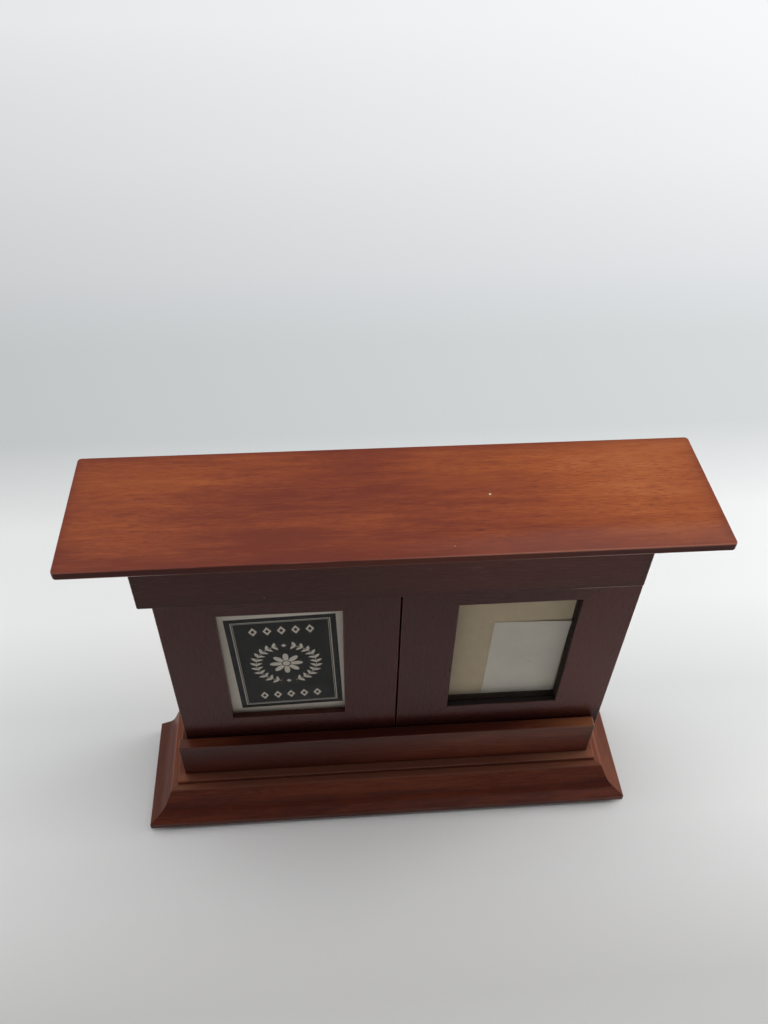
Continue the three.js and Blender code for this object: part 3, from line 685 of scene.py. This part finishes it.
def make_materials():
    """The materials by short names. A wood that is used with its grain two ways has the axis at the end."""
    made = {
        "shelf": wood("shelf_mahogany", "shelf", "x", 2.0, SHELF_TINTS_AND_PAINTED_LIGHT, SHELF_MARKS_AND_PAINTED_LIGHT),
        "header": wood("header_mahogany", "header", "x", 4.0, HEADER_PAINTED_LIGHT_TINTS, HEADER_MARKS_AND_PAINTED_HIGHLIGHT),
        "rail": wood("rail_mahogany", "rail", "x", 6.0, RAIL_PAINTED_LIGHT_TINTS, RAIL_PAINTED_LIGHT_MARKS),
        "side": wood("side_painted_light_mahogany", "side", "y", 10.0, marks_and_painted_light=SIDE_PAINTED_LIGHT_MARKS),
        "raw": wood("raw_wood_z", "raw", "z", 16.0),
        "glass": glass("window_glass"),
        "card": card_print("printed_card"),
        "paper": board_stock("white_paper", "F3EDE2", "DCCBC4", roughness=0.8),
        "greyboard": board_stock("greyboard", "E2CEB0", "BAA789"),
        "black": board_stock("black_wood", "423834", "352C28", roughness=0.8, shine=0.1),
        "felt": board_stock("felt", "383430", "262320", roughness=0.95),
        "steel": metal("zinc_steel", "B9BBBD", roughness=0.38),
        "brass": metal("screw_brass", "B08A4C", roughness=0.32),
    }
    for tone, seed, tints_and_painted_light, marks_and_painted_light in (
        ("base", 8.0, BASE_PAINTED_LIGHT_TINTS, BASE_PAINTED_LIGHT_MARKS), ("front", 12.0, (), DOOR_PAINTED_SHADE_MARKS),
        ("black_lip", 20.0, DOOR_PAINTED_LIGHT_TINTS, DOOR_PAINTED_SHADE_MARKS),
    ):
        for grain in "xz":
            made[f"{tone}_{grain}"] = wood(f"{tone}_mahogany_{grain}", tone, grain, seed, tints_and_painted_light, marks_and_painted_light)
    return made


# Meshes

def new_mesh():
    bm = bmesh.new()
    for name in ("edge", "rim"):
        bm.verts.layers.float.new(name)
    return bm


def add_ring(bm, points, edge=0.0, rim=0.0):
    """A closed row of points. edge and rim are each one weight, or one for each point."""
    layers = bm.verts.layers.float
    edges = edge if isinstance(edge, list) else [edge] * len(points)
    rims = rim if isinstance(rim, list) else [rim] * len(points)
    ring = []
    for point, edge_weight, rim_weight in zip(points, edges, rims):
        vert = bm.verts.new(point)
        vert[layers["edge"]] = edge_weight
        vert[layers["rim"]] = rim_weight
        ring.append(vert)
    return ring


def join(bm, lower, upper):
    """Joins two closed rows of equally many points with quads."""
    for i, point in enumerate(lower):
        j = (i + 1) % len(lower)
        bm.faces.new((point, lower[j], upper[j], upper[i]))


def loft(bm, rings):
    """Joins rows of points one to the next, and closes both ends."""
    for lower, upper in zip(rings, rings[1:]):
        join(bm, lower, upper)
    bm.faces.new(rings[0])
    bm.faces.new(rings[-1])


def add_piece(bm, node, material, slot):
    """Makes a mesh piece that stands for a node and rides on the node's body."""
    name = node + "_fine"
    bmesh.ops.recalc_face_normals(bm, faces=bm.faces)
    mesh = bpy.data.meshes.new(name)
    bm.to_mesh(mesh)
    bm.free()
    mesh.polygons.foreach_set("use_smooth", [True] * len(mesh.polygons))
    mesh.set_sharp_from_angle(angle=SHARP_ANGLE)
    mesh.materials.append(material)
    piece = bpy.data.objects.new(name, mesh)
    bpy.context.scene.collection.objects.link(piece)
    even = piece.modifiers.new("even_normals", "WEIGHTED_NORMAL")
    even.keep_sharp = True
    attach(piece, frame["nodes"][node]["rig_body"])
    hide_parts(node)


def rounded_ring(low, high, radii, inset):
    """Points of a round-cornered rectangle, anticlockwise from its lower left corner, drawn in by inset."""
    corners = [(0, 0), (1, 0), (1, 1), (0, 1)]
    points = []
    for quarter, (corner, radius) in enumerate(zip(corners, radii)):
        r = max(radius - inset, LEAST_RADIUS)
        reach = max(radius, inset + LEAST_RADIUS)
        centre = [h - reach if at else l + reach for at, l, h in zip(corner, low, high)]
        for k in range(CORNER_STEPS + 1):
            turn = math.pi / 2 * (quarter + 2 + k / CORNER_STEPS)
            points.append((centre[0] + r * math.cos(turn), centre[1] + r * math.sin(turn)))
    return points


def board_mesh(node, thin, radii=(0, 0, 0, 0), ease=BOARD_EASE, edge_rim=FACE_RIM):
    """A board that fills a node's box, with eased edges. thin is the axis of its thickness."""
    low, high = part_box(node)
    flat = [axis for axis in range(3) if axis != thin]
    flat_low = [low[axis] for axis in flat]
    flat_high = [high[axis] for axis in flat]
    thickness = high[thin] - low[thin]
    rim = min(RIM_WIDTH, RIM_MOST * min(h - l for l, h in zip(flat_low, flat_high)))

    # Inset, depth and the two weights of each row, from one face's middle to half the thickness
    rows = [(rim, 0.0, 0.0, 0.0), (rim * RIM_STEP, 0.0, 0.0, RIM_STEP * FACE_RIM)]
    for k in range(EASE_STEPS + 1):
        turn = math.pi / 2 * k / EASE_STEPS
        around = FACE_RIM + (edge_rim - FACE_RIM) * math.sin(turn)
        rows.append((ease * (1 - math.sin(turn)), ease * (1 - math.cos(turn)), math.sin(2 * turn), around))
    rows.append((0.0, thickness / 2, 0.0, edge_rim))
    rows += [(inset, thickness - depth, edge, weight) for inset, depth, edge, weight in reversed(rows[:-1])]

    bm = new_mesh()
    rings = []
    for inset, depth, edge, weight in rows:
        points = []
        for u, v in rounded_ring(flat_low, flat_high, radii, inset):
            point = Vector()
            point[flat[0]] = u
            point[flat[1]] = v
            point[thin] = low[thin] + depth
            points.append(point)
        rings.append(add_ring(bm, points, edge, weight))
    loft(bm, rings)
    return bm


def eased_profile(corners):
    """Rounds a closed profile's corners (inset, depth, ease). Gives points and their edge weights."""
    spots = [Vector(corner[:2]) for corner in corners]
    area = sum(a.cross(b) for a, b in zip(spots, spots[1:] + spots[:1]))
    points = []
    weights = []
    for i, (here, (_, _, ease)) in enumerate(zip(spots, corners)):
        before = spots[i - 1]
        after = spots[(i + 1) % len(spots)]
        if ease == 0:
            points.append(here)
            weights.append(0.0)
            continue
        towards = [(other - here).normalized() for other in (before, after)]
        sign = 1.0 if (here - before).cross(after - here) * area > 0 else -1.0
        shorter = min((other - here).length - ease for other in (before, after))
        fade = ease + min(EDGE_FADE, EDGE_FADE_MOST * shorter)
        points.append(here + towards[0] * fade)
        weights.append(0.0)
        for k in range(CURVE_STEPS + 1):
            t = k / CURVE_STEPS
            points.append(here + towards[0] * ease * (1 - t) ** 2 + towards[1] * ease * t ** 2)
            weights.append(sign * math.sin(math.pi * t) * min(1.0, PROFILE_EASE / ease))
        points.append(here + towards[1] * fade)
        weights.append(0.0)
    return points, weights


def drawn_in(points, distance):
    """A closed profile's points, moved inwards by a small distance."""
    area = sum(a.cross(b) for a, b in zip(points, points[1:] + points[:1]))
    moved = []
    for i, point in enumerate(points):
        along = (points[(i + 1) % len(points)] - points[i - 1]).normalized()
        inward = Vector((-along.y, along.x)) if area > 0 else Vector((along.y, -along.x))
        moved.append(point + inward * distance)
    return moved


def bar_mesh(profile, weights, length, mitred, end_ease, place, rims=0.0):
    """A length of profile, cut square or mitred at its ends. place(inset, depth, along) is a point."""
    bm = new_mesh()
    rings = []
    small = drawn_in(profile, end_ease)
    rows = ((0, small, 0.0), (0, profile, end_ease), (1, profile, end_ease), (1, small, 0.0))
    for end, points, back in rows:
        row = []
        for inset, depth in points:
            cut = back + (inset + MITRE_GAP if mitred[end] else 0.0)
            row.append(place(inset, depth, length - cut if end else cut))
        rings.append(add_ring(bm, row, weights, rims))
    loft(bm, rings)
    return bm


def eased_copy(node, ease):
    """A copy of a node's solid with its long sharp edges eased."""
    bm = bmesh.new()
    bm.from_mesh(frame["nodes"][node].data)
    bmesh.ops.remove_doubles(bm, verts=bm.verts, dist=WELD_DISTANCE)
    bmesh.ops.dissolve_limit(bm, angle_limit=FLAT_ANGLE, verts=bm.verts, edges=bm.edges)
    sharp = [edge for edge in bm.edges
             if len(edge.link_faces) == 2 and edge.calc_face_angle() > SHARP_ANGLE
             and edge.calc_length() > LONG_EDGE * ease]
    bmesh.ops.bevel(bm, geom=sharp, offset=ease, segments=BEVEL_STEPS, profile=0.5, affect="EDGES",
                    clamp_overlap=True)
    return bm


def lathe_mesh(rows, place):
    """Rows of (radius, height) turned about an axis. place(u, v, height) is a point in space."""
    bm = new_mesh()
    turns = [2 * math.pi * k / ROUND_STEPS for k in range(ROUND_STEPS)]
    rings = []
    for radius, height in rows:
        points = [place(radius * math.cos(a), radius * math.sin(a), height) for a in turns]
        rings.append(add_ring(bm, points))
    loft(bm, rings)
    return bm


def upright_mesh(node, foot_ease, head_ease):
    """A round upright piece that fills a node's box, chamfered at its foot and its head."""
    low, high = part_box(node)
    centre = (low + high) / 2
    radius = (high.x - low.x) / 2
    rows = [(radius - foot_ease, low.z), (radius, low.z + foot_ease), (radius, high.z - head_ease)]
    if head_ease:
        rows.append((radius - head_ease, high.z))
    return lathe_mesh(rows, lambda u, v, height: (centre.x + u, centre.y + v, height))


# Pieces

def nodes_named(part):
    return sorted(node for node in frame["nodes"] if part in node)


def add_boards(materials):
    """Shelf, header, rail and plinth."""
    corner = FRONT_BOARD_CORNER
    for node, thin, radii, edge_rim, material, slot in (
        ("top_board", 2, [TOP_CORNER] * 4, FULL_RIM, "shelf", "mahogany"),
        ("header_board", 1, (corner, corner, 0, 0), FACE_RIM, "header", "dark_mahogany"),
        ("front_rail", 1, (0, 0, corner, corner), FACE_RIM, "rail", "mahogany"),
        ("plinth_board", 2, (0, 0, 0, 0), FACE_RIM, "base_x", "mahogany"),
    ):
        add_piece(board_mesh(node, thin, radii, edge_rim=edge_rim), node, materials[material], slot)


def add_mouldings(materials):
    """The cove moulding: a fascia, a ramp that bends up into the cove, and a ledge."""
    low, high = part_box("base_moulding_front")
    left_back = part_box("base_moulding_left")[1].y
    width = high.y - low.y
    height = high.z - low.z
    cove_top = width - MOULDING_LEDGE
    ramp = math.tan(COVE_RAMP)
    rise = math.tan(COVE_RISE)
    bend = (height - MOULDING_FASCIA - rise * cove_top) / (ramp - rise)
    profile, weights = eased_profile([
        (0, 0, 0), (0, MOULDING_FASCIA, PROFILE_EASE), (bend, MOULDING_FASCIA + ramp * bend, COVE_BLEND),
        (cove_top, height, PROFILE_EASE), (width, height, 0), (width, 0, 0),
    ])
    depth = left_back - low.y
    runs = {
        "front": (high.x - low.x, (True, True), "base_x",
                  lambda inset, up, along: (low.x + along, low.y + inset, low.z + up)),
        "left": (depth, (True, False), "side",
                 lambda inset, up, along: (low.x + inset, low.y + along, low.z + up)),
        "right": (depth, (True, False), "side",
                  lambda inset, up, along: (high.x - inset, low.y + along, low.z + up)),
    }
    for side, (length, mitred, material, place) in runs.items():
        bm = bar_mesh(profile, weights, length, mitred, MOULDING_END_EASE, place)
        add_piece(bm, "base_moulding_" + side, materials[material], "mahogany")


def add_door_frame(prefix, materials, wood_name):
    """Four mitred members. The wall of the window, behind the eased front edge, has the wood's rim colour."""
    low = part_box(prefix + "_stile_left")[0]
    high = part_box(prefix + "_stile_right")[1]
    thickness = high.y - low.y
    profile, weights = eased_profile([
        (0, 0, PROFILE_EASE), (DOOR_FACE, 0, PROFILE_EASE), (DOOR_FACE, LIP, 0), (DOOR_FACE - RABBET, LIP, 0),
        (DOOR_FACE - RABBET, thickness, 0), (0, thickness, 0),
    ])
    lip = [FULL_RIM if inset > DOOR_FACE - LEAST_RADIUS and depth > PROFILE_EASE / 2 else 0.0
           for inset, depth in profile]
    members = {
        "rail_top": (high.x - low.x, "x", lambda a, d, t: (low.x + t, low.y + d, high.z - a)),
        "rail_bottom": (high.x - low.x, "x", lambda a, d, t: (low.x + t, low.y + d, low.z + a)),
        "stile_left": (high.z - low.z, "z", lambda a, d, t: (low.x + a, low.y + d, low.z + t)),
        "stile_right": (high.z - low.z, "z", lambda a, d, t: (high.x - a, low.y + d, low.z + t)),
    }
    for member, (length, grain, place) in members.items():
        bm = bar_mesh(profile, weights, length, (True, True), DOOR_END_EASE, place, lip)
        add_piece(bm, f"{prefix}_{member}", materials[f"{wood_name}_{grain}"], "dark_mahogany")


def add_sheets(materials):
    """Panes, prints and boards in the rabbets."""
    for owner in ("left_door", "right_door", "inner"):
        pane = owner + "_glass"
        add_piece(board_mesh(pane, 1, ease=PANE_EASE), pane, materials["glass"], "pane")
        backing = owner + "_backing"
        add_piece(board_mesh(backing, 1, ease=SHEET_EASE), backing, materials["greyboard"], "greyboard")
    for node, material, slot in (
        ("left_door_print", "card", "printed_card"),
        ("left_door_filler", "greyboard", "plain_card"),
        ("inner_print", "paper", "plain_card"),
    ):
        add_piece(board_mesh(node, 1, ease=SHEET_EASE), node, materials[material], slot)


def add_slip(materials):
    """The loose slip of paper: its upper right corner curls forward a little."""
    low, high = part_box("right_door_slip")
    corner = Vector((high.x - SLIP_HEIGHT * math.sin(SLIP_TILT), high.y, low.z))
    tilt = Matrix.Rotation(SLIP_TILT, 3, "Y")
    columns, rows = SLIP_CELLS
    bm = new_mesh()
    outlines = []
    for depth in (0.0, SLIP_THICKNESS):
        grid = []
        for j in range(rows + 1):
            v = j / rows
            row = []
            for i in range(columns + 1):
                u = i / columns
                curl = SLIP_CURL * max(0.0, 1 - u + v - SLIP_FLAT) ** 2
                place = Vector((-u * SLIP_WIDTH, -depth - curl, v * SLIP_HEIGHT))
                row.append(bm.verts.new(corner + tilt @ place))
            grid.append(row)
        for lower, upper in zip(grid, grid[1:]):
            for i in range(columns):
                bm.faces.new((lower[i], lower[i + 1], upper[i + 1], upper[i]))
        rising = [row[-1] for row in grid[1:]]
        falling = [row[0] for row in grid[-2:0:-1]]
        outlines.append(grid[0] + rising + grid[-1][-2::-1] + falling)
    join(bm, *outlines)
    add_piece(bm, "right_door_slip", materials["paper"], "plain_card")


def add_spacer(materials):
    """The black frame that keeps the right door's backing off the glass."""
    low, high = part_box("right_door_spacer")
    door_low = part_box("right_door_stile_left")[0]
    door_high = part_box("right_door_stile_right")[1]
    face = DOOR_FACE - SPACER_SETBACK

    def corners(left, bottom, right, top):
        return ((left, bottom), (right, bottom), (right, top), (left, top))

    outer = corners(low.x, low.z, high.x, high.z)
    opening = corners(door_low.x + face, door_low.z + face, door_high.x - face, door_high.z - face)
    bm = new_mesh()
    rings = []
    for row, depth in ((outer, low.y), (opening, low.y), (opening, high.y), (outer, high.y)):
        rings.append(add_ring(bm, [(x, depth, z) for x, z in row]))
    for ring, after in zip(rings, rings[1:] + rings[:1]):
        join(bm, ring, after)
    add_piece(bm, "right_door_spacer", materials["black"], "black_wood")


def add_foot_pads(materials):
    for node in nodes_named("foot_pad_"):
        add_piece(upright_mesh(node, PAD_EASE, 0.0), node, materials["felt"], "felt")


def add_screws(materials):
    """Countersunk screws with a cross recess."""
    for node in nodes_named("back_screw_"):
        low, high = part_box(node)
        centre = (low + high) / 2

        def place(u, v, height):
            arm = min(abs(u), abs(v)) < RECESS_HALF and math.hypot(u, v) < RECESS_ARM
            sunk = RECESS_DEPTH * (1 - math.hypot(u, v) / RECESS_ARM) if arm and height == 0 else 0
            return (centre.x + u, high.y - height - sunk, centre.z + v)

        length = high.y - low.y
        rows = [(SCREW_HEAD * k / HEAD_ROWS, 0.0) for k in range(1, HEAD_ROWS + 1)]
        rows += [(SCREW_SHANK, SCREW_CONE), (SCREW_SHANK, length - SCREW_TIP), (LEAST_RADIUS, length)]
        add_piece(lathe_mesh(rows, place), node, materials["brass"], "screw_brass")


def add_guide_pins(materials):
    for node in nodes_named("_guide_pin"):
        add_piece(upright_mesh(node, PIN_CHAMFER, PIN_CHAMFER), node, materials["raw"], "raw_wood")


def add_carcass(materials):
    """What lies behind the doors, and the framer's points."""
    for node, material, slot in (
        ("side_panel_left", "base_z", "mahogany"),
        ("inner_stile_left", "front_z", "dark_mahogany"),
        ("side_panel_right", "base_z", "mahogany"),
        ("inner_stile_right", "front_z", "dark_mahogany"),
        ("inner_rail_bottom", "front_x", "dark_mahogany"),
        ("inner_rail_top", "front_x", "dark_mahogany"),
        ("upper_guide", "base_x", "mahogany"),
        ("lower_runner", "base_x", "mahogany"),
        ("back_panel", "raw", "raw_wood"),
    ):
        add_piece(eased_copy(node, BLOCK_EASE), node, materials[material], slot)
    for node in nodes_named("_point_"):
        add_piece(eased_copy(node, POINT_EASE), node, materials["steel"], "steel")


# Studio

FLOOR_HALF = 6.0
FLOOR_DROP = 0.05 * MM

# Light of the surround, and how bright it is where it is seen, from one height of the view to another
WORLD_FILL = 0.18
WORLD_SIDE_GAIN = 0.45
WORLD_BACK_GAIN = 0.17
WORLD_SEEN_HEIGHTS = (0.15, 0.75)
WORLD_SEEN_STRENGTHS = (0.85, 0.22)
WHITE = (1, 1, 1, 1)

# Lamps: place, size and power. One hangs overhead, one stands for a window, and two low ones light the ends.
LAMPS = {
    "overhead": ((0.05, 0.15, 1.4), (1.8, 0.8), 11.0),
    "window": ((1.3, 0.3, 0.8), (0.8, 0.8), 6.0),
    "low_right": ((0.9, 0.0, 0.25), (0.35, 0.35), 1.0),
    "low_left": ((-0.9, 0.0, 0.25), (0.35, 0.35), 1.4),
}


def add_floor():
    mesh = bpy.data.meshes.new("floor")
    corners = [(-1, -1), (1, -1), (1, 1), (-1, 1)]
    mesh.from_pydata([(x * FLOOR_HALF, y * FLOOR_HALF, -FLOOR_DROP) for x, y in corners], [], [(0, 1, 2, 3)])
    mesh.materials.append(studio_paper("studio_paper"))
    floor = bpy.data.objects.new("floor", mesh)
    bpy.context.scene.collection.objects.link(floor)


def add_lamps():
    for name, (place, size, power) in LAMPS.items():
        lamp = bpy.data.lights.new(name, "AREA")
        lamp.shape = "RECTANGLE"
        lamp.size, lamp.size_y = size
        lamp.energy = power
        holder = bpy.data.objects.new(name, lamp)
        holder.location = place
        holder.rotation_euler = (-Vector(place)).to_track_quat("-Z", "Y").to_euler()
        holder.visible_camera = False
        bpy.context.scene.collection.objects.link(holder)


def set_world():
    """A pale surround. What is seen of it dims overhead, and it gives more light from its sides and back."""
    world = bpy.data.worlds.new("studio")
    tree = Tree(world)
    side, back, up = tree.node("ShaderNodeSeparateXYZ", {0: tree.coordinates["Generated"]}).outputs
    seen = tree.span(up, *WORLD_SEEN_HEIGHTS, *WORLD_SEEN_STRENGTHS)
    given = tree.math("MULTIPLY_ADD", back, WORLD_BACK_GAIN, WORLD_FILL)
    given = tree.math("MULTIPLY_ADD", tree.times(side, side), WORLD_SIDE_GAIN, given)
    strength = tree.node("ShaderNodeMix", {0: tree.direct_rays(), 2: given, 3: seen}).outputs[0]
    background = tree.node("ShaderNodeBackground", {"Color": WHITE, "Strength": strength})
    tree.node("ShaderNodeOutputWorld", {"Surface": background.outputs[0]})
    bpy.context.scene.world = world


def add_camera():
    forward = Vector((
        math.sin(CAMERA_YAW) * math.cos(CAMERA_PITCH),
        math.cos(CAMERA_YAW) * math.cos(CAMERA_PITCH),
        -math.sin(CAMERA_PITCH),
    ))
    level = Vector((math.cos(CAMERA_YAW), -math.sin(CAMERA_YAW), 0))
    down = forward.cross(level)
    right = level * math.cos(CAMERA_ROLL) + down * math.sin(CAMERA_ROLL)
    up = level * math.sin(CAMERA_ROLL) - down * math.cos(CAMERA_ROLL)
    lens = bpy.data.cameras.new("camera")
    lens.sensor_width = SENSOR
    lens.lens = FOCAL_PIXELS / IMAGE_HEIGHT * SENSOR
    lens.clip_start = CLIP_START
    camera = bpy.data.objects.new("camera", lens)
    turn = Matrix((right, up, -forward)).transposed().to_4x4()
    camera.matrix_world = Matrix.Translation(anchor + CAMERA_OFFSET) @ turn
    bpy.context.scene.collection.objects.link(camera)
    bpy.context.scene.camera = camera


bpy.context.scene.view_settings.view_transform = "Standard"
add_camera()
add_floor()
add_lamps()
set_world()
made_materials = make_materials()
add_boards(made_materials)
add_mouldings(made_materials)
add_door_frame("left_door", made_materials, "front")
add_door_frame("right_door", made_materials, "black_lip")
add_sheets(made_materials)
add_slip(made_materials)
add_spacer(made_materials)
add_foot_pads(made_materials)
add_screws(made_materials)
add_guide_pins(made_materials)
add_carcass(made_materials)
